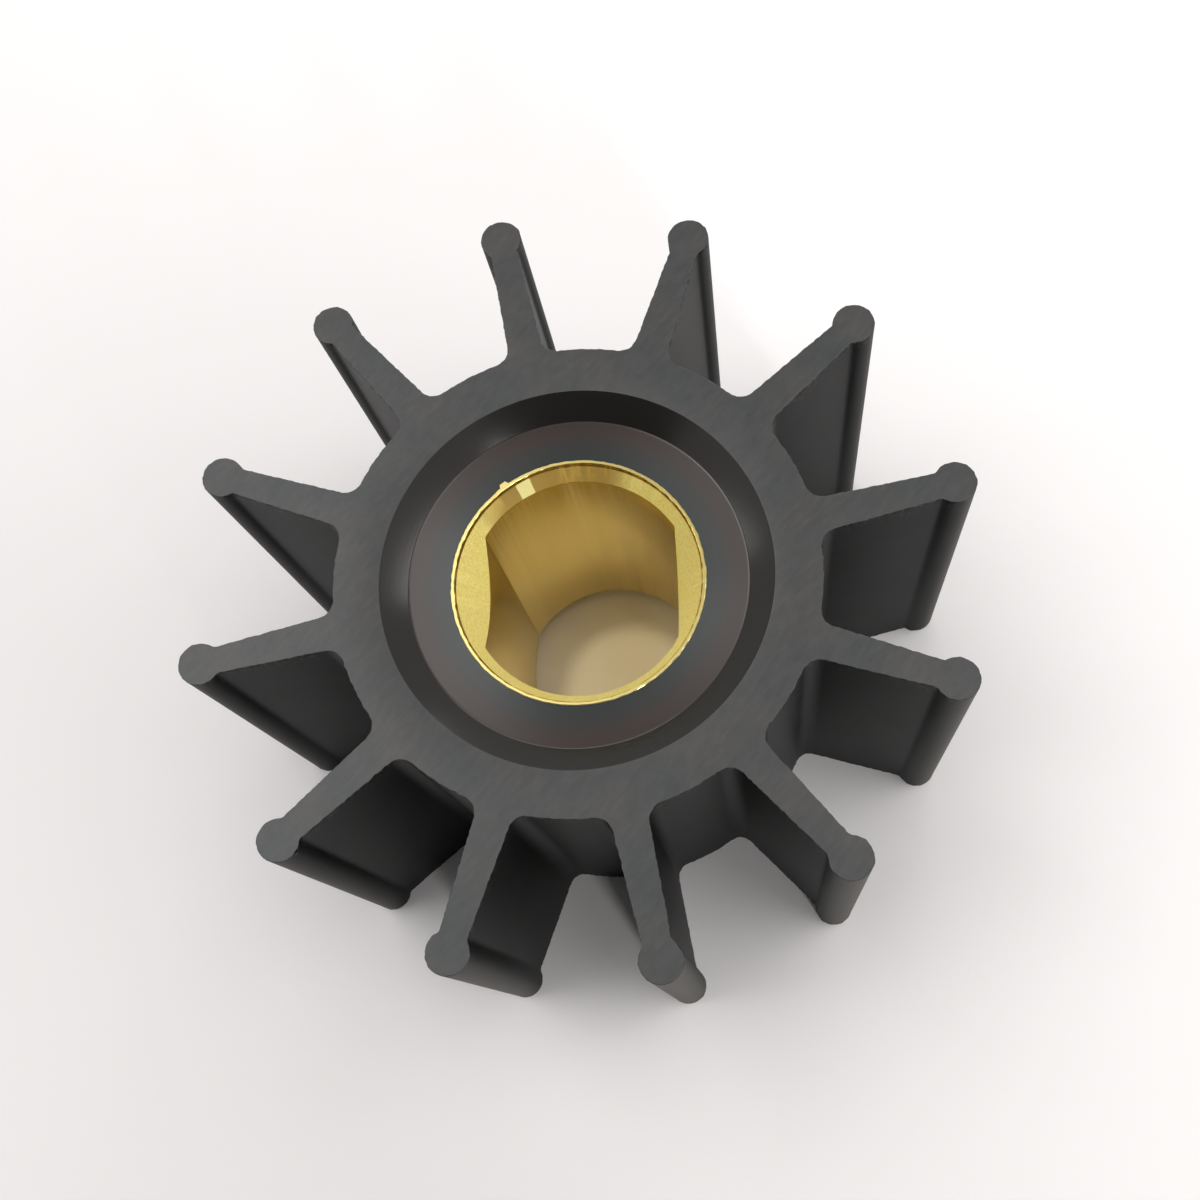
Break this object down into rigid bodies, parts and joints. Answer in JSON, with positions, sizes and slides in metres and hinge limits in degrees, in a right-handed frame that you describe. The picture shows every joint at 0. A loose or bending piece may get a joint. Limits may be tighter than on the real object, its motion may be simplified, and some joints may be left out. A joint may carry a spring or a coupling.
{
  "type": "rubber pump impeller",
  "caption": "Flexible-blade rubber impeller for a small marine water pump: straight radial blades with beaded tips on a hub moulded round a brass drive sleeve.",
  "frame": {"origin": "on the shaft axis at the lower end face, where the impeller rests", "axes": "+Z along the shaft axis, towards the upper end face; X and Y each run through the middle of a gap between two blades"},
  "size_m": [0.0552, 0.0552, 0.0318],
  "materials": {
    "rubber": "ground matt ends, moulded semi-gloss sides",
    "brass": "turned and broached, bare"
  },
  "bodies": {
    "root": {"rubber_body": "rubber", "brass_insert": "brass"}
  },
  "joints": []
}
